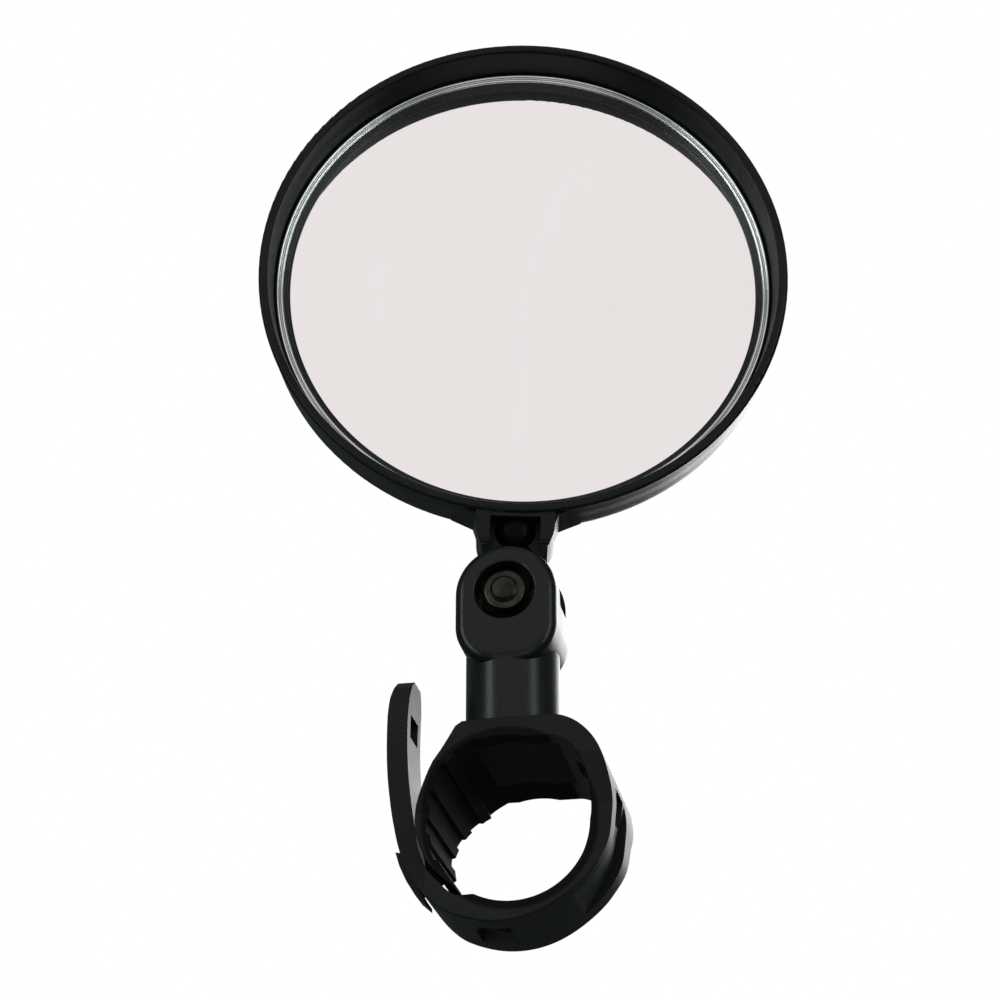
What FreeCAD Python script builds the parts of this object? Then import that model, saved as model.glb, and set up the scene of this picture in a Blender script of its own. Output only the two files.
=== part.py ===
import FreeCAD, Part
import math
import os
from FreeCAD import Vector as V

os.makedirs("parts", exist_ok=True)

# Round convex bicycle mirror on a strap clamp.
# Frame: millimetres, +Z up, origin at the centre of the handlebar inside the
# clamp, handlebar axis along Y, the mirror looking towards -Y.

# ---------------------------------------------------------------- dimensions
BAR_R = 11.1            # handlebar radius, 22.2 mm bar
POST_X = -1.0           # swivel post axis, slightly off the bar axis
BOLT_Z = 34.8           # height of the M4 lean bolt
REST_LEAN = 1.8         # rest lean of the head about the bolt, degrees
REST_YAW = 10.7         # rest turn of the head about its stud, degrees
REST_TILT = 1.0         # rest tilt of the head on its ball, degrees

SADDLE_T = 2.6          # saddle wall over the bar
SADDLE_W = 12.0         # saddle in front of the post, along the bar
SADDLE_B = 16.0         # saddle behind the post
STRAP_W = 8.0           # half width of the strap round the bar
STRAP_T = 2.7
TAIL_W = 4.5            # half width of the pull tail
GAP = 0.3               # strap clear of the leg and of the hook

COL_R = 6.7             # post column
BLK_X = 7.3             # fork block half width and ear radius
BLK_F = -7.0            # front face of the fork
BLK_B = 5.2             # back face of the fork
BLK_DOWN = 10.9         # fork block below the bolt
SLOT = 2.6              # half gap between the ears
HUB_T = 2.3             # half thickness of the knuckle hub
HUB_R = 6.8
M4 = 2.0                # bolt shank radius

BALL_Z = 11.6           # ball centre above the bolt
BALL_R = 3.2
CUP_R = 5.75            # outside of the ball socket
CUP_DROP = 3.2          # socket mouth below the ball centre
HEAD_Z = 41.7           # head centre above the ball centre
HEAD_R = 40.0           # rim outside radius
LIP_Y = -4.6            # front of the rim
RING_Y = 0.5            # front of the retaining ring
GLASS_Y = 2.0           # glass front at its visible edge
GLASS_R = 36.6
GLASS_SPH = 600.0       # convex radius of the glass

X = V(1, 0, 0)
Y = V(0, 1, 0)
Z = V(0, 0, 1)


def cyl(r, h, p, d):
    return Part.makeCylinder(r, h, V(*p), d)


def box(x0, x1, y0, y1, z0, z1):
    return Part.makeBox(x1 - x0, y1 - y0, z1 - z0, V(x0, y0, z0))


def prism_y(pts, y0, y1):
    w = Part.makePolygon([V(x, y0, z) for x, z in pts] + [V(pts[0][0], y0, pts[0][1])])
    return Part.Face(w).extrude(V(0, y1 - y0, 0))


def prism_x(pts, x0, x1):
    w = Part.makePolygon([V(x0, y, z) for y, z in pts] + [V(x0, pts[0][0], pts[0][1])])
    return Part.Face(w).extrude(V(x1 - x0, 0, 0))


def spline(pts):
    c = Part.BSplineCurve()
    c.interpolate(pts)
    return c.toShape()


def loop(edges):
    return Part.Wire(Part.__sortEdges__(edges))


def lathe_y(pts):
    # closed outline of (r, y) points turned about the Y axis
    w = Part.makePolygon([V(r, y, 0) for r, y in pts] + [V(pts[0][0], pts[0][1], 0)])
    return Part.Face(w).revolve(V(0, 0, 0), Y, 360)


def try_fillet(s, r, pick):
    es = [e for e in s.Edges if pick(e)]
    if not es:
        return s
    try:
        f = s.makeFillet(r, es)
        if f.isValid() and f.Volume > 0:
            return f
    except Exception:
        pass
    out = s
    for e0 in es:
        c = e0.CenterOfMass
        for e in out.Edges:
            if (e.CenterOfMass - c).Length < 1e-4:
                try:
                    g = out.makeFillet(r, [e])
                    if g.isValid() and g.Volume > 0:
                        out = g
                except Exception:
                    pass
                break
    return out


def one(s):
    s = s.removeSplitter()
    if len(s.Solids) == 1:
        return s.Solids[0]
    return max(s.Solids, key=lambda q: q.Volume)


def save(name, shape):
    shape.exportStep("parts/" + name + ".step")


def pol(r, deg):
    a = math.radians(deg)
    return (r * math.cos(a), r * math.sin(a))


# ------------------------------------------------------- clamp body and strap
TOP = BAR_R + SADDLE_T
CEIL = BAR_R - 0.4      # saddle ceiling before the bar seat is bored into it


def clamp_body():
    # saddle with the right shoulder running into the strap, seen along the bar
    ri = BAR_R
    outer = [(-6.1, TOP - 0.2), (-3.0, TOP), (6.8, TOP), (9.4, TOP - 0.9),
             (11.4, TOP - 2.6), (12.9, TOP - 4.9), (13.9, 5.6), (14.3, 2.6)]
    for a, t in ((0, 3.0), (-12, 2.85), (-24, 2.5), (-36, 2.15), (-48, 1.9), (-60, 1.9),
                 (-72, 2.1), (-84, 2.4), (-96, 2.75), (-108, 3.15), (-120, 3.6)):
        outer.append(pol(ri + t, a))
    outer += [(-9.1, -11.95), (-11.3, -10.2), (-13.4, -7.6), (-15.2, -4.3),
              (-16.6, 0.0), (-17.6, 5.0), (-18.15, 10.0), (-18.3, 15.5), (-18.1, 20.0), (-17.3, 23.6)]
    inner = [(-14.9, 23.6), (-15.2, 20.0), (-15.35, 15.5), (-15.15, 10.0), (-14.6, 5.0),
             (-13.7, 0.0), (-12.9, -3.4), (-11.5, -6.2), (-9.6, -8.3), (-7.4, -9.9)]
    # drawn a little inside the bar, then bored to the bar radius below
    inner.append(pol(ri + 0.1, -118))
    for a in (-108, -96, -84, -72, -60, -48, -36, -24, -12):
        inner.append(pol(ri - 0.3, a))
    inner += [pol(ri + 0.1, 0), (11.3, 2.6), (11.0, 5.6), (9.9, 8.3), (8.2, 10.0), (6.2, CEIL)]
    o = [V(x, -SADDLE_W, z) for x, z in outer]
    i = [V(x, -SADDLE_W, z) for x, z in inner]
    e1 = Part.makeLine(o[0], o[1])
    e2 = Part.makeLine(o[1], o[2])
    e3 = spline(o[2:])
    e4 = Part.makeLine(o[-1], i[0])
    e5 = spline(i)
    e6 = Part.makeLine(i[-1], V(-6.2, -SADDLE_W, CEIL))
    e7 = Part.makeLine(V(-6.2, -SADDLE_W, CEIL), o[0])
    body = Part.Face(loop([e1, e2, e3, e4, e5, e6, e7])).extrude(V(0, SADDLE_W + SADDLE_B, 0))

    # plan of the width, wide at the saddle, narrow round the bar
    plan = [(-SADDLE_W, 30), (-SADDLE_W, 8.0), (-STRAP_W - 0.9, 1.5), (-STRAP_W, -5.0),
            (-STRAP_W, -30), (STRAP_W, -30), (STRAP_W, -5.0), (STRAP_W + 1.4, 0.6),
            (12.6, 4.6), (SADDLE_B, 8.6), (SADDLE_B, 30)]
    wide = prism_x(plan, -11.9, 30)
    tail = [(-STRAP_W, -30), (STRAP_W, -30), (STRAP_W - 0.3, -9.0), (STRAP_W - 1.4, -5.0),
            (TAIL_W + 0.6, 1.0), (TAIL_W, 6.0), (TAIL_W - 0.3, 18.0), (TAIL_W - 0.6, 20.6), (TAIL_W - 1.4, 22.4), (2.0, 23.5),
            (-2.0, 23.5), (-TAIL_W + 1.4, 22.4), (-TAIL_W + 0.6, 20.6), (-TAIL_W + 0.3, 18.0), (-TAIL_W, 6.0),
            (-TAIL_W - 0.6, 1.0), (-STRAP_W + 1.4, -5.0), (-STRAP_W + 0.3, -9.0)]
    left = prism_x(tail, -30, -11.9)
    body = one(body.common(wide.fuse(left)))

    # slots of the strap, one above the other along its length
    def slot(deg, r0, half=2.4, w=3.2, dx=0.0, dz=0.0):
        b = box(r0 - 4.0, r0 + 5.0, -w, w, -half, half)
        b.rotate(V(0, 0, 0), Y, -deg)
        b.translate(V(dx, 0, dz))
        return b
    for a, half, w in ((41.0, 2.1, 3.6), (14.0, 2.0, 3.0), (-104.0, 2.6, 4.0)):
        body = body.cut(slot(a, ri + 0.6, half, w))
    for zc, w in ((1.6, 2.8), (16.8, 2.4)):
        body = body.cut(box(-21, -12.5, -w, w, zc - 1.7, zc + 1.7))

    # long shallow channel outside on the right, running out at both ends
    floor = [pol(15.3, 23), pol(13.75, 10), pol(13.05, 0), pol(12.8, -12), pol(12.6, -24),
             pol(12.6, -36), pol(12.85, -48), pol(13.6, -58)]
    fl = [V(x, -5.6, z) for x, z in floor]
    far = [V(*[c for c in (x, -5.6, z)]) for x, z in (pol(22, -58), pol(26, -18), pol(22, 23))]
    chan = Part.Face(loop([spline(fl), Part.makeLine(fl[-1], far[0]), Part.makeLine(far[0], far[1]),
                           Part.makeLine(far[1], far[2]), Part.makeLine(far[2], fl[0])])).extrude(V(0, 9.8, 0))
    body = one(body.cut(chan))

    # leg on the left, gripping ribs inside and a hook on its outside
    lo = [(-5.9, TOP - 0.25), (-6.9, TOP - 0.9), (-7.6, 11.6), (-8.9, 9.5), (-10.5, 7.2), (-11.9, 4.7),
          (-13.0, 1.8), (-13.0, -1.0), (-12.3, -3.5), (-11.0, -5.6), (-9.3, -7.4), (-8.0, -8.4)]
    leg_in = [pol(ri + 0.5, a) for a in (226, 214, 202, 190, 178, 166, 154, 142, 130, 120)]
    o = [V(x, -SADDLE_W, z) for x, z in lo]
    i = [V(x, -SADDLE_W, z) for x, z in leg_in]
    t = V(-3.0, -SADDLE_W, ri + 0.5)
    f = Part.Face(loop([Part.makeLine(o[0], o[1]), spline(o[1:]), Part.makeLine(o[-1], i[0]), spline(i),
                        Part.makeLine(i[-1], t), Part.makeLine(t, V(-3.0, -SADDLE_W, TOP - 0.25)),
                        Part.makeLine(V(-3.0, -SADDLE_W, TOP - 0.25), o[0])]))
    leg = f.extrude(V(0, SADDLE_W + SADDLE_B, 0))
    for a in (134, 153, 172, 191, 210):
        # grip rib along the bar, its crest bored to the bar radius below
        p = [pol(ri - 0.4, a - 3.0), pol(ri - 0.4, a + 3.0), pol(ri + 0.9, a + 6.0), pol(ri + 0.9, a - 6.0)]
        leg = leg.fuse(prism_y(p, -SADDLE_W, SADDLE_B))
    legw = prism_x(plan, -30, 30)
    leg = one(leg.common(legw))
    leg = leg.cut(cyl(ri, 60, (0, -30, 0), Y))

    # hook through a strap slot, its lip turned up outside
    hook = [(-10.9, -4.9), (-13.2, -6.6), (-14.0, -6.95), (-13.6, -7.65), (-12.95, -8.6),
            (-12.9, -9.25), (-14.3, -8.0), (-15.6, -5.9), (-16.6, -3.7), (-17.2, -1.7),
            (-16.25, -1.9), (-15.75, -3.4), (-15.0, -5.1), (-13.6, -4.6), (-12.0, -3.0)]
    hk = prism_y(hook, -2.5, 2.5)
    # the slot the hook passes through
    slot_h = prism_y([(-12.6, -2.2), (-11.2, -7.1), (-14.6, -9.6), (-20.5, -6.2), (-19.0, -1.4)], -3.0, 3.0)
    body = body.cut(slot_h)
    body = one(body.fuse(leg))
    body = one(body.fuse(hk))
    body = body.cut(cyl(ri, 60, (0, -30, 0), Y))
    return one(body)


clamp = clamp_body()
# pocket under the saddle for the core plate and its cover pad
PK_X, PK_Y = 8.0, 8.6
clamp = clamp.cut(box(POST_X - 5.6, POST_X + PK_X, -PK_Y, PK_Y, BAR_R - 0.5, BAR_R + 1.7))
clamp = clamp.cut(cyl(3.35, 6, (POST_X, 0, BAR_R), Z))
clamp = one(clamp)


def ext_edge(e, lo, hi):
    # outside edges of the saddle at its two ends, between two x positions
    b = e.BoundBox
    end = b.YLength < 1e-3 and (abs(b.YMin + SADDLE_W) < 1e-3 or abs(b.YMin - SADDLE_B) < 1e-3)
    return end and e.Length > 6.0 and e.CenterOfMass.z > 9.0 and lo < e.CenterOfMass.x < hi


clamp = try_fillet(clamp, 0.3, lambda e: ext_edge(e, -5, 20))
for side in (-1, 1):
    clamp = try_fillet(clamp, 0.3, lambda e: ext_edge(e, -20, -5) and e.CenterOfMass.y * side > 0)
# rounded outside edges of the strap
for side in (-1, 1):
    clamp = try_fillet(clamp, 0.30, lambda e: abs(e.CenterOfMass.y - side * STRAP_W) < 0.05 and e.BoundBox.YLength < 0.02
                       and e.Length > 12.0 and e.CenterOfMass.z < -5.0
                       and math.hypot(e.valueAt(e.FirstParameter).x, e.valueAt(e.FirstParameter).z) > BAR_R + 1.2)
save("clamp_strap", clamp)

# core plate: stiffener of the saddle with the threaded swivel boss
core = box(POST_X - 5.5, POST_X + PK_X - 0.1, -PK_Y + 0.1, PK_Y - 0.1, BAR_R + 0.65, BAR_R + 1.65)
core = core.fuse(cyl(3.0, 16.6 - BAR_R - 0.65, (POST_X, 0, BAR_R + 0.65), Z))
core = core.cut(cyl(1.5, 10, (POST_X, 0, BAR_R + 0.2), Z))
core = try_fillet(one(core), 0.8, lambda e: abs(e.Length - 1.0) < 1e-3 and e.BoundBox.ZLength > 0.9)
save("core_plate", one(core))

# soft pad closing the pocket under the plate
pad = box(POST_X - 5.5, POST_X + PK_X - 0.1, -PK_Y + 0.1, PK_Y - 0.1, CEIL, BAR_R + 0.6)
pad = one(pad.cut(cyl(BAR_R + 0.03, 60, (0, -30, 0), Y)))
pad = try_fillet(pad, 0.8, lambda e: e.BoundBox.ZLength > 0.5 and e.BoundBox.XLength < 0.01 and e.BoundBox.YLength < 0.01)
save("liner_pad", pad)

# ------------------------------------------------------------- swivel stack
BUSH_TOP = TOP + 0.55
# flanged bush: sleeve round the plate boss, flange under the post
bush = cyl(6.1, 0.45, (POST_X, 0, TOP + 0.05), Z).fuse(cyl(3.85, 16.2 - TOP - 0.05, (POST_X, 0, TOP + 0.05), Z))
bush = bush.cut(cyl(3.05, 10, (POST_X, 0, TOP - 1), Z))
save("swivel_bush", one(bush))

CB_Z = 20.4             # floor of the screw counterbore in the post
swas = cyl(2.9, 0.5, (POST_X, 0, CB_Z + 1.05), Z).cut(cyl(1.6, 2, (POST_X, 0, CB_Z + 0.5), Z))
save("swivel_washer", swas)


def wave_washer(ri, ro, th, z0, amp):
    # spring washer with three shallow waves
    out = None
    n = 24
    sec = []
    for k in range(n + 1):
        a = 360.0 * k / n
        zz = z0 + amp * (1 - math.cos(math.radians(3 * a))) / 2.0
        w = Part.makePolygon([V(ri, 0, zz), V(ro, 0, zz), V(ro, 0, zz + th), V(ri, 0, zz + th), V(ri, 0, zz)])
        w.rotate(V(0, 0, 0), Z, a)
        sec.append(w)
    half1 = Part.makeLoft(sec[:n // 2 + 1], True, False)
    half2 = Part.makeLoft(sec[n // 2:], True, False)
    return one(half1.fuse(half2))


ww = wave_washer(1.65, 2.85, 0.3, 0.0, 0.6)
ww.translate(V(POST_X, 0, CB_Z + 0.08))
save("swivel_spring", ww)

scr = cyl(1.5, CB_Z + 1.6 - 12.4, (POST_X, 0, 12.4), Z)
scr = scr.fuse(cyl(2.75, 2.4, (POST_X, 0, CB_Z + 1.6), Z))
hexs = Part.Face(Part.makePolygon([V(POST_X + 1.45 * math.cos(math.radians(60 * k)), 1.45 * math.sin(math.radians(60 * k)), CB_Z + 2.7)
                                   for k in range(7)])).extrude(V(0, 0, 3))
scr = one(scr.cut(hexs))
scr = try_fillet(scr, 0.3, lambda e: abs(e.BoundBox.ZMin - (CB_Z + 4.0)) < 1e-3 and e.BoundBox.XLength > 5)
save("swivel_screw", scr)

# ---------------------------------------------------------------------- post
bz = BOLT_Z
LOW = (BLK_X - 1.55, bz - 8.85)     # middle of the rounded lower corner
e = [Part.Arc(V(BLK_X, BLK_F, bz), V(0, BLK_F, bz + BLK_X), V(-BLK_X, BLK_F, bz)).toShape(),
     Part.makeLine(V(BLK_X, BLK_F, bz), V(BLK_X, BLK_F, bz - 5.0)),
     Part.Arc(V(BLK_X, BLK_F, bz - 5.0), V(LOW[0], BLK_F, LOW[1]), V(BLK_X - 5.5, BLK_F, bz - BLK_DOWN)).toShape(),
     Part.makeLine(V(BLK_X - 5.5, BLK_F, bz - BLK_DOWN), V(-BLK_X + 5.5, BLK_F, bz - BLK_DOWN)),
     Part.Arc(V(-BLK_X, BLK_F, bz - 5.0), V(-LOW[0], BLK_F, LOW[1]), V(-BLK_X + 5.5, BLK_F, bz - BLK_DOWN)).toShape(),
     Part.makeLine(V(-BLK_X, BLK_F, bz), V(-BLK_X, BLK_F, bz - 5.0))]
blk = Part.Face(loop(e)).extrude(V(0, BLK_B - BLK_F, 0))
blk = try_fillet(blk, 1.7, lambda q: abs(q.BoundBox.YMin - BLK_F) < 1e-3 and q.BoundBox.YLength < 1e-3)
blk = try_fillet(blk, 0.8, lambda q: abs(q.BoundBox.YMin - BLK_B) < 1e-3 and q.BoundBox.YLength < 1e-3)
col = cyl(COL_R, bz - 8.0 - BUSH_TOP, (0, 0, BUSH_TOP), Z)
post = one(blk.fuse(col))
post = post.cut(box(-20, 20, -SLOT, SLOT, bz - 1.2, bz + 30))
post = post.cut(cyl(HUB_R + 0.3, 2 * SLOT, (0, -SLOT, bz), Y))
post = post.cut(cyl(M4 + 0.05, 40, (0, -20, bz), Y))
post = post.cut(cyl(4.3, 3.3, (0, BLK_F, bz), Y))
hexb = Part.Face(Part.makePolygon([V(4.12 * math.cos(math.radians(60 * k)), BLK_B + 1, bz + 4.12 * math.sin(math.radians(60 * k)))
                                   for k in range(7)])).extrude(V(0, -2.3, 0))
post = post.cut(hexb)
post = post.cut(cyl(1.6, 40, (0, 0, 10), Z))
post = post.cut(cyl(3.2, 20, (0, 0, CB_Z), Z))
post = post.cut(cyl(3.9, 16.95 - BUSH_TOP + 1, (0, 0, BUSH_TOP - 1), Z))
post = one(post)
post = try_fillet(post, 0.35, lambda q: abs(q.BoundBox.YMin - BLK_F) < 1e-3 and q.BoundBox.YLength < 1e-3 and abs(q.BoundBox.XLength - 8.6) < 0.05)
post = try_fillet(post, 0.5, lambda q: abs(q.BoundBox.ZMin - BUSH_TOP) < 1e-3 and q.BoundBox.ZLength < 1e-3 and q.BoundBox.XLength > 12)
post.translate(V(POST_X, 0, 0))
save("post", post)

# --------------------------------------------------------------- lean bolt
NY = BLK_F + 3.3        # floor of the nut recess
bolt = cyl(M4, (BLK_B - 0.6) - (BLK_F - 0.7), (0, BLK_F - 0.7, bz), Y)
ch = [q for q in bolt.Edges if abs(q.BoundBox.YMin - (BLK_F - 0.7)) < 1e-3 and q.BoundBox.YLength < 1e-3]
bolt = bolt.makeChamfer(0.45, ch)
head = Part.Face(Part.makePolygon([V(4.04 * math.cos(math.radians(60 * k)), BLK_B - 1.25, bz + 4.04 * math.sin(math.radians(60 * k)))
                                   for k in range(7)])).extrude(V(0, 2.8, 0))
dome = cyl(3.95, 2.8, (0, BLK_B - 1.25, bz), Y)
cone = Part.makeCone(4.5, 3.3, 1.2, V(0, BLK_B + 0.35, bz), Y)
head = head.common(dome.fuse(cyl(4.1, 1.6, (0, BLK_B - 1.25, bz), Y)))
head = head.common(cyl(4.2, 1.6, (0, BLK_B - 1.25, bz), Y).fuse(cone))
bolt = one(bolt.fuse(head))
bolt.translate(V(POST_X, 0, 0))
save("pivot_bolt", bolt)

pw = cyl(3.9, 0.4, (POST_X, NY - 0.42, bz), Y).cut(cyl(M4 + 0.08, 2, (POST_X, NY - 1, bz), Y))
save("pivot_washer", pw)

nut = Part.Face(Part.makePolygon([V(4.04 * math.cos(math.radians(60 * k + 30)), NY - 0.45, bz + 4.04 * math.sin(math.radians(60 * k + 30)))
                                  for k in range(7)])).extrude(V(0, -1.45, 0))
nut = nut.fuse(cyl(3.05, 2.9, (0, NY - 0.45, bz), V(0, -1, 0)))
nut = one(nut)
nut = try_fillet(nut, 0.45, lambda q: abs(q.BoundBox.YMin - (NY - 3.35)) < 1e-3 and q.BoundBox.YLength < 1e-3)
nut = nut.cut(cyl(M4 + 0.02, 20, (0, -15, bz), Y))
nut = nut.cut(cyl(2.55, 0.7, (0, NY - 3.2, bz), Y))
nut = one(nut)
nut.translate(V(POST_X, 0, 0))
save("pivot_nut", nut)

ni = cyl(2.52, 0.64, (POST_X, NY - 3.17, bz), Y).cut(cyl(M4 + 0.02, 5, (POST_X, NY - 5, bz), Y))
save("nut_insert", ni)


# ------------------------------------------------- pieces that lean as a set
def lean(s):
    s.rotate(V(0, 0, bz), Y, REST_LEAN)
    s.translate(V(POST_X, 0, 0))
    return s


# friction washers each side of the knuckle
w1 = cyl(5.6, 0.22, (0, -HUB_T - 0.25, bz), Y).cut(cyl(M4 + 0.06, 4, (0, -6, bz), Y))
w2 = cyl(5.6, 0.22, (0, HUB_T + 0.03, bz), Y).cut(cyl(M4 + 0.06, 4, (0, 0, bz), Y))
save("lean_washers", lean(Part.makeCompound([w1, w2])))

hub = cyl(HUB_R, 2 * HUB_T, (0, -HUB_T, bz), Y)
hub = try_fillet(hub, 0.3, lambda q: q.BoundBox.YLength < 1e-3)
hub = one(hub)
neck = cyl(2.25, 7.35, (0, 0, bz), Z)
hub = one(hub.fuse(neck))
hub = hub.cut(cyl(M4 + 0.05, 20, (0, -10, bz), Y))
hub = hub.cut(cyl(1.3, 10, (0, 0, bz + 2.7), Z))
PIN_Z = 4.7
hub = hub.cut(cyl(0.52, 20, (-10, 1.32, bz + PIN_Z), X))
hub = one(hub)
save("knuckle", lean(hub))

pin = cyl(0.5, 7.6, (-3.8, 1.32, bz + PIN_Z), X)
save("stud_pin", lean(pin))

stud = Part.makeSphere(BALL_R, V(0, 0, bz + BALL_Z))
stud = stud.fuse(cyl(1.5, BALL_Z - 7.45, (0, 0, bz + 7.45), Z))
stud = stud.fuse(cyl(1.8, 0.7, (0, 0, bz + 7.42), Z))
stud = stud.fuse(cyl(1.25, 5.0, (0, 0, bz + 2.95), Z))
groove = cyl(2.0, 1.1, (0, 0, bz + PIN_Z - 0.55), Z).cut(cyl(0.78, 1.1, (0, 0, bz + PIN_Z - 0.55), Z))
stud = one(stud.cut(groove))
save("ball_stud", lean(stud))


# ------------------------------------------------------------- mirror head
def head_place(s):
    # built with the ball centre at the origin
    s.rotate(V(0, 0, 0), X, REST_TILT)
    s.rotate(V(0, 0, 0), Z, REST_YAW)
    s.translate(V(0, 0, bz + BALL_Z))
    return lean(s)


def turned(outline):
    # outline: list of edges in the XY plane (r, y), turned about the Y axis
    f = Part.Face(loop(outline))
    return f.revolve(V(0, 0, 0), Y, 360)


P = lambda r, y: V(r, y, 0)
# rear: a rounded shoulder, then a shallow dome square to the axis
SH_R, SH_Y, APEX = 36.2, 6.05, 7.35
DOME_R = (SH_R ** 2 + (APEX - SH_Y) ** 2) / (2 * (APEX - SH_Y))
MID_Y = APEX - (DOME_R - math.sqrt(DOME_R ** 2 - (SH_R / 2) ** 2))
edges = [Part.Arc(P(39.2, 3.6), P(38.35, 5.3), P(SH_R, SH_Y)).toShape(),
         Part.Arc(P(SH_R, SH_Y), P(SH_R / 2, MID_Y), P(0, APEX)).toShape(),
         Part.makeLine(P(0, APEX), P(0, 4.95)),
         Part.makeLine(P(0, 4.95), P(GLASS_R + 0.15, 4.95)),
         Part.makeLine(P(GLASS_R + 0.15, 4.95), P(GLASS_R + 0.15, GLASS_Y + 0.05)),
         Part.makeLine(P(GLASS_R + 0.15, GLASS_Y + 0.05), P(38.0, GLASS_Y + 0.05)),
         Part.makeLine(P(38.0, GLASS_Y + 0.05), P(38.0, RING_Y - 0.1)),
         Part.makeLine(P(38.0, RING_Y - 0.1), P(38.55, LIP_Y + 0.45)),
         Part.Arc(P(38.55, LIP_Y + 0.45), P(38.72, LIP_Y + 0.12), P(39.05, LIP_Y)).toShape(),
         Part.makeLine(P(39.05, LIP_Y), P(39.45, LIP_Y)),
         Part.Arc(P(39.45, LIP_Y), P(39.85, LIP_Y + 0.18), P(HEAD_R, LIP_Y + 0.65)).toShape(),
         Part.makeLine(P(HEAD_R, LIP_Y + 0.65), P(39.2, 3.6))]
shell = turned(edges)
shell.translate(V(0, 0, HEAD_Z))
# neck that carries the ball socket, rounded about the ball
nk = box(-CUP_R, CUP_R, -4.1, 4.4, -CUP_DROP, 4.4)
nk = nk.common(cyl(CUP_R, 30, (0, -15, 0), Y).fuse(box(-CUP_R, CUP_R, -15, 15, 0, 10)))
nk = nk.common(cyl(4.7, 30, (-15, 0, 0.0), X).fuse(box(-15, 15, -5.3, 5.3, 0, 10)))
nk = one(nk)
nk = one(nk.cut(cyl(38.9, 40, (0, -20, HEAD_Z), Y)))
web = prism_y([(-9.6, 3.4), (-CUP_R - 0.55, 1.9), (-CUP_R, 0.3), (CUP_R, 0.3), (CUP_R + 0.55, 1.9), (9.6, 3.4)], -3.4, 3.4)
web = web.cut(cyl(39.05, 40, (0, -20, HEAD_Z), Y))
shell = shell.fuse(nk).fuse(one(web))
shell = one(shell)
shell = shell.cut(Part.makeSphere(BALL_R + 0.05, V(0, 0, 0)))
shell = shell.cut(box(-3.65, 3.65, -9.0, -1.2, -6.0, 1.15))
mouth = Part.makeCone(0.2, 0.2 + 6.0 * math.tan(math.radians(43.0)), 6.0, V(0, 0, -0.2), V(0, 0, -1))
shell = one(shell.cut(mouth))
save("mirror_shell", head_place(shell))

# snap-in ring with two fine beads and a coned face down to the glass
rg = [Part.makeLine(P(37.95, RING_Y + 0.4), P(37.95, GLASS_Y - 0.02)),
      Part.makeLine(P(37.95, GLASS_Y - 0.02), P(35.65, GLASS_Y - 0.02)),
      Part.makeLine(P(35.65, GLASS_Y - 0.02), P(35.75, GLASS_Y - 0.3)),
      Part.makeLine(P(35.75, GLASS_Y - 0.3), P(36.72, RING_Y + 0.72)),
      Part.Arc(P(36.72, RING_Y + 0.72), P(36.82, RING_Y + 0.3), P(37.17, RING_Y + 0.38)).toShape(),
      Part.Arc(P(37.17, RING_Y + 0.38), P(37.35, RING_Y), P(37.68, RING_Y + 0.24)).toShape(),
      Part.makeLine(P(37.68, RING_Y + 0.24), P(37.95, RING_Y + 0.4))]
ring = turned(rg)
ring.translate(V(0, 0, HEAD_Z))
save("retaining_ring", head_place(one(ring)))


def cap(y_axis, rad, r_edge, y_back):
    # solid under a sphere cap: front crown at y_axis, flat back at y_back
    s = Part.makeSphere(rad, V(0, y_axis + rad, 0))
    c = cyl(r_edge, y_back - (y_axis - 3), (0, y_axis - 3, 0), Y)
    return c.common(s)


sag = lambda r, rad: rad - math.sqrt(rad * rad - r * r)
g_front = GLASS_Y - sag(35.7, GLASS_SPH)
g_t = 2.0
gl = cap(g_front, GLASS_SPH, GLASS_R, 9.0)
gl = gl.cut(Part.makeSphere(GLASS_SPH - g_t, V(0, g_front + GLASS_SPH, 0)))
gl = one(gl)
gl = try_fillet(gl, 0.15, lambda q: q.BoundBox.YLength < 1e-3)
gl.translate(V(0, 0, HEAD_Z))
save("mirror_lens", head_place(one(gl)))

# black protective film behind the glass, then the foam adhesive pad
f_t = 0.12
film = cap(g_front + g_t + 0.02, GLASS_SPH - g_t - 0.02, GLASS_R - 0.4, 9.0)
film = one(film.cut(Part.makeSphere(GLASS_SPH - g_t - 0.02 - f_t, V(0, g_front + GLASS_SPH, 0))))
film.translate(V(0, 0, HEAD_Z))
save("mirror_film", head_place(film))

pd = cap(g_front + g_t + f_t + 0.05, GLASS_SPH - g_t - f_t - 0.05, 34.0, 4.93)
pd.translate(V(0, 0, HEAD_Z))
save("adhesive_pad", head_place(one(pd)))

print("done")
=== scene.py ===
import math

import bmesh
import bpy
from mathutils import Matrix, Vector


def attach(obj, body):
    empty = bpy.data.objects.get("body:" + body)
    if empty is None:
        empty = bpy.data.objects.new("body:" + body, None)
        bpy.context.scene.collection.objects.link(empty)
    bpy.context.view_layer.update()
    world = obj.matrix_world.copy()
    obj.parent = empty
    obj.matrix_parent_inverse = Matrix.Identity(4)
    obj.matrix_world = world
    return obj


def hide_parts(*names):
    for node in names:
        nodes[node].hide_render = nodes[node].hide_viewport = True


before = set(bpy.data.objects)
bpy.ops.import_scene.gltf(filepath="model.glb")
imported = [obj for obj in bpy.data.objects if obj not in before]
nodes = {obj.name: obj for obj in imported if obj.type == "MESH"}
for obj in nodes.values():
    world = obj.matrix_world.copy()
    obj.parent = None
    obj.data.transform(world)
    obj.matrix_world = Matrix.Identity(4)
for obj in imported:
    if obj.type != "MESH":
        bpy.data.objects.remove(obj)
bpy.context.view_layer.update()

scene = bpy.context.scene
MM = 0.001


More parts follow.
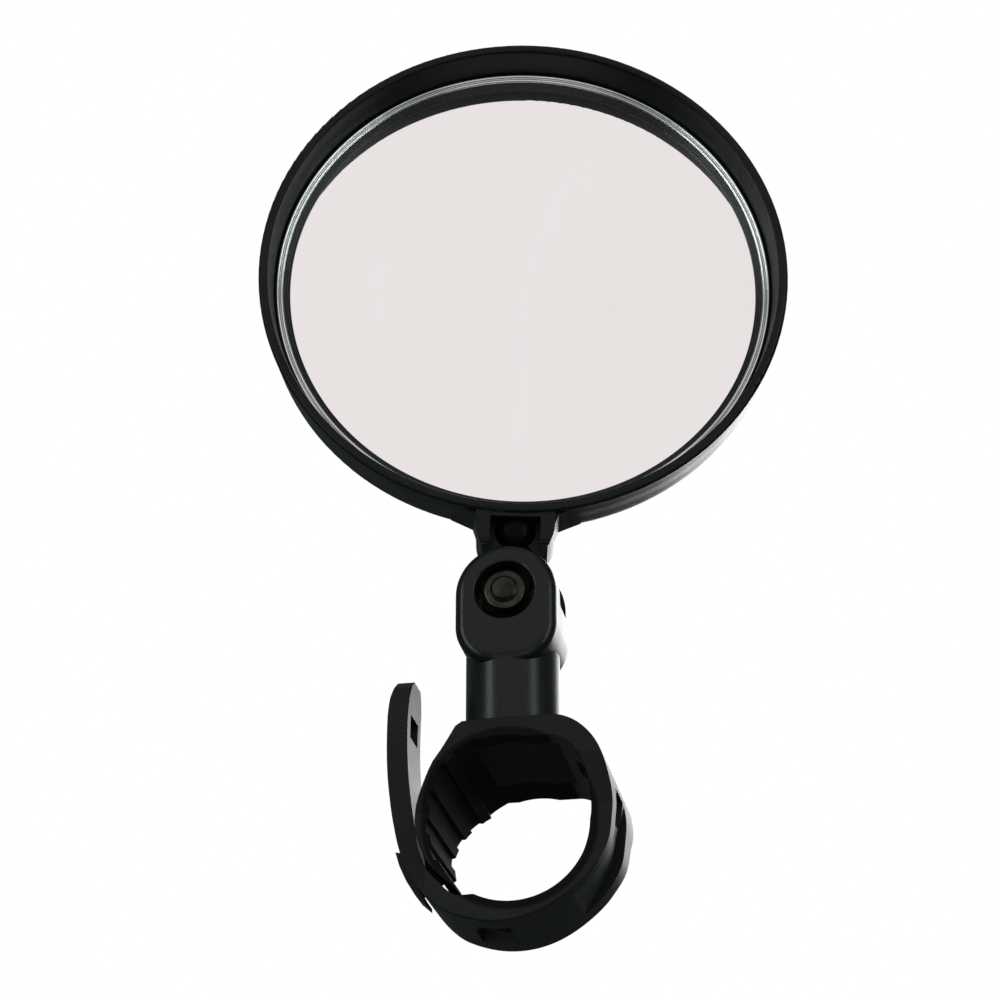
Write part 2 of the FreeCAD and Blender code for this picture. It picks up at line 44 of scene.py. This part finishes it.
# ------------------------------------------------------------------ materials
def nt_new(name):
    m = bpy.data.materials.new(name)
    m.use_nodes = True
    nt = m.node_tree
    nt.nodes.clear()
    out = nt.nodes.new("ShaderNodeOutputMaterial")
    bsdf = nt.nodes.new("ShaderNodeBsdfPrincipled")
    nt.links.new(bsdf.outputs[0], out.inputs[0])
    return m, nt, bsdf


def coords(nt, scale=(1, 1, 1)):
    t = nt.nodes.new("ShaderNodeTexCoord")
    mp = nt.nodes.new("ShaderNodeMapping")
    mp.inputs["Scale"].default_value = scale
    nt.links.new(t.outputs["Object"], mp.inputs[0])
    return mp.outputs[0]


def noise(nt, vec, scale, detail=3.0, rough=0.55, dist=0.0):
    n = nt.nodes.new("ShaderNodeTexNoise")
    n.inputs["Scale"].default_value = scale
    n.inputs["Detail"].default_value = detail
    n.inputs["Roughness"].default_value = rough
    n.inputs["Distortion"].default_value = dist
    nt.links.new(vec, n.inputs["Vector"])
    return n.outputs["Fac"]


def ramp(nt, fac, stops):
    r = nt.nodes.new("ShaderNodeValToRGB")
    e = r.color_ramp.elements
    while len(e) < len(stops):
        e.new(0.5)
    for k, (p, c) in enumerate(stops):
        e[k].position = p
        e[k].color = (*c, 1) if len(c) == 3 else c
    nt.links.new(fac, r.inputs[0])
    return r.outputs[0]


def remap(nt, fac, a, b, lo=0.3, hi=0.7):
    r = nt.nodes.new("ShaderNodeMapRange")
    r.inputs["From Min"].default_value = lo
    r.inputs["From Max"].default_value = hi
    r.inputs["To Min"].default_value = a
    r.inputs["To Max"].default_value = b
    nt.links.new(fac, r.inputs["Value"])
    return r.outputs[0]


def bump(nt, height, strength, distance, prev=None):
    b = nt.nodes.new("ShaderNodeBump")
    b.inputs["Strength"].default_value = strength
    b.inputs["Distance"].default_value = distance
    nt.links.new(height, b.inputs["Height"])
    if prev is not None:
        nt.links.new(prev, b.inputs["Normal"])
    return b.outputs[0]


def radius(nt, centre):
    # distance from an axis along the piece's own Y through centre, in metres
    t = nt.nodes.new("ShaderNodeTexCoord")
    sub = nt.nodes.new("ShaderNodeVectorMath")
    sub.operation = "SUBTRACT"
    sub.inputs[1].default_value = centre
    nt.links.new(t.outputs["Object"], sub.inputs[0])
    flat = nt.nodes.new("ShaderNodeVectorMath")
    flat.operation = "MULTIPLY"
    flat.inputs[1].default_value = (1, 0, 1)
    nt.links.new(sub.outputs[0], flat.inputs[0])
    ln = nt.nodes.new("ShaderNodeVectorMath")
    ln.operation = "LENGTH"
    nt.links.new(flat.outputs[0], ln.inputs[0])
    return ln.outputs["Value"]


def own(node, point):
    # a frame point, in mm, in the node's own coordinates
    return nodes[node].matrix_world.inverted() @ (Vector(point) * MM)


def painted_shade_by_radius(nt, b, centre, r_a, r_b, keep_a, keep_b, rough_a=None):
    # painted shade: scale the base colour down, and raise the roughness, with distance from the axis
    r = radius(nt, centre)
    f = remap(nt, r, keep_a, keep_b, r_a, r_b)
    src = b.inputs["Base Color"].links[0].from_socket
    sc = nt.nodes.new("ShaderNodeVectorMath")
    sc.operation = "SCALE"
    nt.links.new(src, sc.inputs[0])
    nt.links.new(f, sc.inputs["Scale"])
    nt.links.new(sc.outputs[0], b.inputs["Base Color"])
    if rough_a is not None:
        src = b.inputs["Roughness"].links[0].from_socket
        mx = nt.nodes.new("ShaderNodeMath")
        mx.operation = "MAXIMUM"
        nt.links.new(src, mx.inputs[0])
        nt.links.new(remap(nt, r, rough_a, 0.0, r_a, r_b), mx.inputs[1])
        nt.links.new(mx.outputs[0], b.inputs["Roughness"])


def plastic(name, dark, light, rough, grain, grain_scale=4200.0, spec=0.5, flow=(1, 1, 1)):
    # moulded black plastic: spark-eroded grain, faint flow marks, rubbed patches
    m, nt, b = nt_new(name)
    v = coords(nt)
    cloud = noise(nt, coords(nt, flow), 60.0, 4.0, 0.6, 0.4)
    fine = noise(nt, v, grain_scale, 2.0, 0.5)
    dust = noise(nt, v, 900.0, 6.0, 0.7)
    col = ramp(nt, cloud, [(0.3, dark), (0.7, light)])
    mix = nt.nodes.new("ShaderNodeMix")
    mix.data_type = "RGBA"
    mix.blend_type = "MIX"
    nt.links.new(remap(nt, dust, 0.0, 0.13, 0.58, 0.8), mix.inputs[0])
    nt.links.new(col, mix.inputs[6])
    mix.inputs[7].default_value = (0.030, 0.033, 0.034, 1)
    nt.links.new(mix.outputs[2], b.inputs["Base Color"])
    nt.links.new(remap(nt, cloud, rough - 0.05, rough + 0.06), b.inputs["Roughness"])
    b.inputs["Specular IOR Level"].default_value = spec
    n1 = bump(nt, fine, grain, 0.00006)
    n2 = bump(nt, cloud, 0.12, 0.0004, n1)
    nt.links.new(n2, b.inputs["Normal"])
    return m


def metal(name, col_a, col_b, rough, scratch=0.25, flow=(1, 1, 1)):
    m, nt, b = nt_new(name)
    v = coords(nt)
    cloud = noise(nt, v, 350.0, 4.0, 0.6, 0.6)
    lines = noise(nt, coords(nt, flow), 900.0, 3.0, 0.6)
    nt.links.new(ramp(nt, cloud, [(0.32, col_a), (0.68, col_b)]), b.inputs["Base Color"])
    b.inputs["Metallic"].default_value = 1.0
    nt.links.new(remap(nt, lines, rough - 0.08, rough + 0.12), b.inputs["Roughness"])
    n1 = bump(nt, lines, scratch, 0.00005)
    nt.links.new(n1, b.inputs["Normal"])
    return m


M = {}
M["shell"] = plastic("shell_black", (0.0030, 0.0040, 0.0038), (0.0062, 0.0076, 0.0073), 0.36, 0.22, 4200.0, 0.10)
M["post"] = plastic("post_black", (0.0036, 0.0048, 0.0046), (0.0070, 0.0086, 0.0083), 0.30, 0.30, 3600.0, 0.18, (1, 1, 0.35))
M["knuckle"] = plastic("knuckle_black", (0.0036, 0.0044, 0.0042), (0.0068, 0.0078, 0.0076), 0.42, 0.25, 3600.0, 0.10)
M["strap"] = plastic("strap_black_painted_shade", (0.0034, 0.0044, 0.0042), (0.0074, 0.0088, 0.0084), 0.46, 0.34, 3000.0, 0.11, (1, 0.4, 1))
M["acetal"] = plastic("bush_black", (0.006, 0.006, 0.0065), (0.011, 0.011, 0.012), 0.3, 0.10, 5200.0, 0.2)
# painted shade: the ball stud's base colour is set darker than the other black plastics to stand for the shade
# inside its socket
M["ball"] = plastic("ball_black_painted_shade", (0.0012, 0.0012, 0.0014), (0.0025, 0.0025, 0.0028), 0.40, 0.06, 5200.0, 0.03)
M["liner"] = plastic("liner_rubber", (0.0050, 0.0052, 0.0048), (0.0105, 0.0108, 0.0100), 0.66, 0.4, 2200.0, 0.1)
M["film"] = plastic("film_dark", (0.008, 0.008, 0.009), (0.015, 0.015, 0.016), 0.5, 0.15, 3000.0, 0.4)
M["zinc"] = metal("zinc_plate", (0.30, 0.31, 0.32), (0.52, 0.53, 0.54), 0.30, 0.3, (1, 4, 1))
M["dark_zinc"] = metal("dark_zinc", (0.012, 0.011, 0.0095), (0.034, 0.032, 0.027), 0.34, 0.35, (1, 4, 1))
M["spring"] = metal("spring_bright", (0.32, 0.33, 0.35), (0.50, 0.51, 0.53), 0.26, 0.25, (3, 3, 0.5))
M["black_steel"] = metal("black_oxide", (0.018, 0.018, 0.020), (0.035, 0.035, 0.038), 0.42, 0.25, (1, 1, 3))


def nylon():
    m, nt, b = nt_new("nylon_natural")
    v = coords(nt)
    cloud = noise(nt, v, 500.0, 4.0, 0.6)
    nt.links.new(ramp(nt, cloud, [(0.3, (0.50, 0.48, 0.42)), (0.7, (0.66, 0.64, 0.58))]), b.inputs["Base Color"])
    nt.links.new(remap(nt, cloud, 0.36, 0.5), b.inputs["Roughness"])
    b.inputs["Subsurface Weight"].default_value = 0.15
    b.inputs["Subsurface Radius"].default_value = (0.001, 0.001, 0.0008)
    nt.links.new(bump(nt, noise(nt, v, 3200.0, 2.0), 0.12, 0.00004), b.inputs["Normal"])
    return m


def foam():
    m, nt, b = nt_new("foam_grey")
    v = coords(nt)
    vor = nt.nodes.new("ShaderNodeTexVoronoi")
    vor.inputs["Scale"].default_value = 3600.0
    nt.links.new(v, vor.inputs["Vector"])
    nt.links.new(ramp(nt, vor.outputs["Distance"], [(0.1, (0.10, 0.10, 0.10)), (0.6, (0.24, 0.24, 0.245))]), b.inputs["Base Color"])
    nt.links.new(remap(nt, vor.outputs["Distance"], 0.95, 0.75, 0.0, 1.0), b.inputs["Roughness"])
    nt.links.new(bump(nt, vor.outputs["Distance"], 0.6, 0.00012), b.inputs["Normal"])
    return m


def mirror():
    # silvered glass with a faint wipe haze and a few specks of dust
    m, nt, b = nt_new("mirror_silver")
    v = coords(nt)
    haze = noise(nt, coords(nt, (1.0, 1.0, 0.35)), 38.0, 5.0, 0.62, 1.2)
    specks = noise(nt, v, 2600.0, 2.0, 0.5)
    col = ramp(nt, haze, [(0.25, (0.800, 0.750, 0.750)), (0.75, (0.826, 0.780, 0.780))])
    nt.links.new(col, b.inputs["Base Color"])
    b.inputs["Metallic"].default_value = 1.0
    sp = remap(nt, specks, 0.0, 0.10, 0.70, 0.80)
    add = nt.nodes.new("ShaderNodeMath")
    add.operation = "ADD"
    nt.links.new(remap(nt, haze, 0.012, 0.05), add.inputs[0])
    nt.links.new(sp, add.inputs[1])
    nt.links.new(add.outputs[0], b.inputs["Roughness"])
    return m


def ring_mat():
    # semi-gloss black, fine turned lines; coordinates are the ring's own, axis along Y
    m, nt, b = nt_new("ring_black")
    at = nt.nodes.new("ShaderNodeAttribute")
    at.attribute_name = "ring_xyz"
    flat = nt.nodes.new("ShaderNodeVectorMath")
    flat.operation = "MULTIPLY"
    flat.inputs[1].default_value = (1, 0, 1)
    nt.links.new(at.outputs["Vector"], flat.inputs[0])
    ln = nt.nodes.new("ShaderNodeVectorMath")
    ln.operation = "LENGTH"
    nt.links.new(flat.outputs[0], ln.inputs[0])
    mul = nt.nodes.new("ShaderNodeMath")
    mul.operation = "MULTIPLY"
    mul.inputs[1].default_value = 2 * math.pi / 0.00028
    nt.links.new(ln.outputs["Value"], mul.inputs[0])
    sn = nt.nodes.new("ShaderNodeMath")
    sn.operation = "SINE"
    nt.links.new(mul.outputs[0], sn.inputs[0])
    v = coords(nt)
    cloud = noise(nt, v, 120.0, 4.0, 0.6)
    specks = noise(nt, v, 5200.0, 2.0, 0.6)
    col = ramp(nt, specks, [(0.55, (0.004, 0.0048, 0.0048)), (0.72, (0.030, 0.034, 0.034))])
    nt.links.new(col, b.inputs["Base Color"])
    nt.links.new(remap(nt, cloud, 0.24, 0.36), b.inputs["Roughness"])
    b.inputs["Specular IOR Level"].default_value = 0.28
    n1 = bump(nt, sn.outputs[0], 0.35, 0.00004)
    n2 = bump(nt, specks, 0.25, 0.00006, n1)
    nt.links.new(n2, b.inputs["Normal"])
    return m


def bead_mat():
    # polished beads of the ring, with fine drawn lines
    m, nt, b = nt_new("bead_polished")
    v = coords(nt)
    cloud = noise(nt, v, 90.0, 4.0, 0.6)
    fine = noise(nt, v, 2600.0, 2.0, 0.5)
    nt.links.new(ramp(nt, cloud, [(0.3, (0.46, 0.47, 0.45)), (0.7, (0.62, 0.63, 0.61))]), b.inputs["Base Color"])
    b.inputs["Metallic"].default_value = 1.0
    nt.links.new(remap(nt, cloud, 0.16, 0.26), b.inputs["Roughness"])
    nt.links.new(bump(nt, fine, 0.15, 0.00003), b.inputs["Normal"])
    return m


def bsdf_of(m):
    return next(n for n in m.node_tree.nodes if n.type == "BSDF_PRINCIPLED")


# painted shade: the bar seat inside the strap is painted darker and duller (rougher) than the outside, and the flats
# of the lock nut, down in their recess, are painted darker than its collar
painted_shade_by_radius(M["strap"].node_tree, bsdf_of(M["strap"]), own("clamp_strap", (0, 0, 0)), 0.0121, 0.0126, 0.35, 1.0, 0.92)
M["nut"] = metal("nut_dark_painted_shade", (0.014, 0.013, 0.011), (0.042, 0.039, 0.033), 0.32, 0.35, (1, 4, 1))
# painted shade on the nut's hex flats in their recess: base colour cut to a tenth beyond 3.15 mm from the bolt axis
painted_shade_by_radius(M["nut"].node_tree, bsdf_of(M["nut"]), own("pivot_nut", (-1.0, 0, 34.8)), 0.00300, 0.00315, 1.0, 0.10)
M["mirror"] = mirror()
M["nylon"] = nylon()
M["foam"] = foam()
M["ring"] = ring_mat()
M["bead"] = bead_mat()

LOOK = {
    "clamp_strap": "strap", "core_plate": "zinc", "liner_pad": "liner", "swivel_bush": "acetal",
    "swivel_screw": "black_steel", "swivel_spring": "spring", "swivel_washer": "zinc",
    "post": "post", "pivot_bolt": "dark_zinc", "pivot_washer": "dark_zinc", "pivot_nut": "nut",
    "nut_insert": "nylon", "lean_washers": "nylon", "knuckle": "knuckle", "stud_pin": "zinc",
    "ball_stud": "ball", "mirror_shell": "shell", "retaining_ring": "ring", "mirror_lens": "mirror",
    "mirror_film": "film", "adhesive_pad": "foam",
}
for n, key in LOOK.items():
    o = nodes[n]
    if not o.material_slots:
        o.data.materials.append(M[key])
    for s in o.material_slots:
        s.material = M[key]

# ------------------------------------------------------- ring round the glass
POST_X, BOLT_Z, BALL_Z, HEAD_Z = -1.0, 34.8, 11.6, 41.7
LEAN, YAW, TILT = (math.radians(v) for v in (1.8, 10.7, 1.0))
HEAD = (Matrix.Translation(Vector((POST_X, 0, BOLT_Z)) * MM) @ Matrix.Rotation(LEAN, 4, "Y")
        @ Matrix.Translation(Vector((0, 0, BALL_Z)) * MM) @ Matrix.Rotation(YAW, 4, "Z")
        @ Matrix.Rotation(TILT, 4, "X") @ Matrix.Translation(Vector((0, 0, HEAD_Z)) * MM))


def arc_pts(cx, cy, r, a0, a1, n):
    return [(cx + r * math.cos(math.radians(a0 + (a1 - a0) * k / n)),
             cy + r * math.sin(math.radians(a0 + (a1 - a0) * k / n))) for k in range(n + 1)]


def lathe(name, prof, mats, seg=288):
    # prof: closed outline of (radius, y, material index) in mm, turned about the head's Y axis
    me = bpy.data.meshes.new(name)
    bm = bmesh.new()
    rings = []
    for k in range(seg):
        a = 2 * math.pi * k / seg
        rings.append([bm.verts.new(Vector((r * math.cos(a), y, r * math.sin(a))) * MM) for r, y, _ in prof])
    m = len(prof)
    for k in range(seg):
        p, q = rings[k], rings[(k + 1) % seg]
        for j in range(m):
            f = bm.faces.new((p[j], p[(j + 1) % m], q[(j + 1) % m], q[j]))
            f.smooth = True
            f.material_index = prof[j][2]
    bmesh.ops.recalc_face_normals(bm, faces=bm.faces[:])
    bm.to_mesh(me)
    bm.free()
    at = me.attributes.new("ring_xyz", "FLOAT_VECTOR", "POINT")
    at.data.foreach_set("vector", [c for v in me.vertices for c in v.co])
    me.transform(HEAD)
    for x in mats:
        me.materials.append(x)
    o = bpy.data.objects.new(name, me)
    scene.collection.objects.link(o)
    return o


RY, GY = 0.5, 2.0
prof = [(37.95, GY - 0.03, 0), (37.95, RY + 0.42, 0), (37.86, RY + 0.30, 0)]
prof += [(r, y, 1) for r, y in arc_pts(37.50, RY + 0.36, 0.30, -8, -172, 12)]
prof += [(r, y, 1) for r, y in arc_pts(36.90, RY + 0.56, 0.28, -20, -178, 12)]
prof += [(36.60, RY + 0.66, 0)]
n_groove = 7
for k in range(n_groove):          # turned steps down to the glass
    t0, t1 = k / n_groove, (k + 0.72) / n_groove
    r0, y0 = 36.60 - 0.85 * t0, RY + 0.66 + 0.54 * t0
    r1, y1 = 36.60 - 0.85 * t1, RY + 0.66 + 0.54 * t1
    prof += [(r0 - 0.01, y0 + 0.035, 0), (r1, y1, 0)]
prof += [(35.74, GY - 0.26, 0), (35.66, GY - 0.20, 0), (35.66, GY - 0.03, 0)]
ring = lathe("glass_ring", prof, [M["ring"], M["bead"]])
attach(ring, "head")
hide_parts("retaining_ring")

# turned lines on the rim, only near the outside of the head
shell_nt, shell_b = M["shell"].node_tree, bsdf_of(M["shell"])
to_head = HEAD.inverted() @ nodes["mirror_shell"].matrix_world
tc0 = shell_nt.nodes.new("ShaderNodeTexCoord")
mp0 = shell_nt.nodes.new("ShaderNodeMapping")
mp0.inputs["Location"].default_value = to_head.to_translation()
mp0.inputs["Rotation"].default_value = to_head.to_euler("XYZ")
shell_nt.links.new(tc0.outputs["Object"], mp0.inputs[0])
fl0 = shell_nt.nodes.new("ShaderNodeVectorMath")
fl0.operation = "MULTIPLY"
fl0.inputs[1].default_value = (1, 0, 1)
shell_nt.links.new(mp0.outputs[0], fl0.inputs[0])
ln0 = shell_nt.nodes.new("ShaderNodeVectorMath")
ln0.operation = "LENGTH"
shell_nt.links.new(fl0.outputs[0], ln0.inputs[0])
wv = shell_nt.nodes.new("ShaderNodeMath")
wv.operation = "MULTIPLY"
wv.inputs[1].default_value = 2 * math.pi / 0.00045
shell_nt.links.new(ln0.outputs["Value"], wv.inputs[0])
sn0 = shell_nt.nodes.new("ShaderNodeMath")
sn0.operation = "SINE"
shell_nt.links.new(wv.outputs[0], sn0.inputs[0])
ms = shell_nt.nodes.new("ShaderNodeMath")
ms.operation = "MULTIPLY"
shell_nt.links.new(sn0.outputs[0], ms.inputs[0])
shell_nt.links.new(remap(shell_nt, ln0.outputs["Value"], 0.0, 1.0, 0.0368, 0.0374), ms.inputs[1])
old = shell_b.inputs["Normal"].links[0].from_socket
shell_nt.links.new(bump(shell_nt, ms.outputs[0], 0.3, 0.00005, old), shell_b.inputs["Normal"])

# --------------------------------------------------------------------- camera
cam_d = bpy.data.cameras.new("camera")
cam = bpy.data.objects.new("camera", cam_d)
scene.collection.objects.link(cam)
F = Vector((-0.16672, 0.89083, 0.42262)).normalized()
R = Vector((0.98294, 0.18395, 0.0)).normalized()
U = R.cross(F).normalized()
mat = Matrix.Identity(4)
for k in range(3):
    mat[k][0] = R[k]
    mat[k][1] = U[k]
    mat[k][2] = -F[k]
mat.translation = Vector((61.443, -343.747, -110.962)) * MM
cam.matrix_world = mat
cam_d.lens = 94.32
cam_d.sensor_width = 36.0
cam_d.clip_start = 0.01
cam_d.clip_end = 100.0
cam_d.dof.use_dof = False
scene.camera = cam


# ---------------------------------------------------------------------- stage
def flat_mat(name, color, emit=0.0, rough=0.8):
    m, nt, b = nt_new(name)
    b.inputs["Base Color"].default_value = (*color, 1)
    b.inputs["Roughness"].default_value = rough
    b.inputs["Specular IOR Level"].default_value = 0.0
    if emit:
        b.inputs["Emission Color"].default_value = (*color, 1)
        b.inputs["Emission Strength"].default_value = emit
    return m


def disc(name, radius, z, seg=96):
    me = bpy.data.meshes.new(name)
    bm = bmesh.new()
    bmesh.ops.create_circle(bm, cap_ends=True, segments=seg, radius=radius)
    bm.to_mesh(me)
    bm.free()
    o = bpy.data.objects.new(name, me)
    o.location = (0, 0, z)
    scene.collection.objects.link(o)
    return o


floor = disc("floor", 2.3, -0.42)
floor.data.materials.append(flat_mat("floor_pale", (0.86, 0.86, 0.86), 0.75))
floor.visible_diffuse = False
floor.visible_glossy = False

dome_me = bpy.data.meshes.new("backdrop")
bm = bmesh.new()
bmesh.ops.create_uvsphere(bm, u_segments=64, v_segments=32, radius=2.4)
bmesh.ops.reverse_faces(bm, faces=bm.faces[:])
for f in bm.faces:
    f.smooth = True
bm.to_mesh(dome_me)
bm.free()
dome = bpy.data.objects.new("backdrop", dome_me)
scene.collection.objects.link(dome)
dm, dnt, db = nt_new("backdrop_white")
dnt.nodes.remove(db)
em = dnt.nodes.new("ShaderNodeEmission")
em.inputs[0].default_value = (1, 1, 1, 1)
em.inputs[1].default_value = 1.0
dnt.links.new(em.outputs[0], [n for n in dnt.nodes if n.type == "OUTPUT_MATERIAL"][0].inputs[0])
dome.data.materials.append(dm)
dome.visible_diffuse = False
dome.visible_glossy = False
dome.visible_transmission = False
dome.visible_shadow = False

# soft world: pale where the mirror looks, dimmer elsewhere
world = bpy.data.worlds.new("studio")
scene.world = world
world.use_nodes = True
wnt = world.node_tree
wnt.nodes.clear()
wo = wnt.nodes.new("ShaderNodeOutputWorld")
bg = wnt.nodes.new("ShaderNodeBackground")
wnt.links.new(bg.outputs[0], wo.inputs[0])
tc = wnt.nodes.new("ShaderNodeTexCoord")
dot = wnt.nodes.new("ShaderNodeVectorMath")
dot.operation = "DOT_PRODUCT"
dot.inputs[1].default_value = Vector((0.17, -0.89, 0.42)).normalized()
wnt.links.new(tc.outputs["Generated"], dot.inputs[0])
wr = wnt.nodes.new("ShaderNodeValToRGB")
wr.color_ramp.elements[0].position = 0.55
wr.color_ramp.elements[0].color = (0.10, 0.115, 0.113, 1)
wr.color_ramp.elements[1].position = 0.90
wr.color_ramp.elements[1].color = (1.0, 1.0, 1.0, 1)
wnt.links.new(dot.outputs["Value"], wr.inputs[0])
wnt.links.new(wr.outputs[0], bg.inputs[0])
bg.inputs[1].default_value = 1.0


def area(name, loc, target, sx, sy, power, color=(1, 1, 1)):
    d = bpy.data.lights.new(name, "AREA")
    d.shape = "RECTANGLE"
    d.size = sx
    d.size_y = sy
    d.energy = power
    d.color = color
    o = bpy.data.objects.new(name, d)
    o.location = loc
    o.rotation_euler = (Vector(target) - Vector(loc)).to_track_quat("-Z", "Y").to_euler()
    o.visible_camera = False
    scene.collection.objects.link(o)
    return o


T = (0.0, 0.0, 0.06)
area("softbox_left", (-0.85, -0.75, 0.10), T, 0.26, 1.1, 6.5, (0.90, 1.0, 0.99))
area("softbox_right", (1.05, -0.55, 0.10), T, 0.22, 1.1, 5.2, (0.90, 1.0, 0.98))
area("softbox_top", (0.0, 0.15, 1.10), T, 0.9, 0.5, 1.6)
area("softbox_back", (0.25, 1.1, 0.45), T, 0.9, 0.6, 7.0)
area("softbox_low", (0.1, -0.5, -0.38), T, 0.6, 0.3, 0.7)

scene.view_settings.view_transform = "Standard"
scene.view_settings.look = "None"
scene.view_settings.exposure = 0.0
scene.view_settings.gamma = 1.0

bpy.context.view_layer.update()
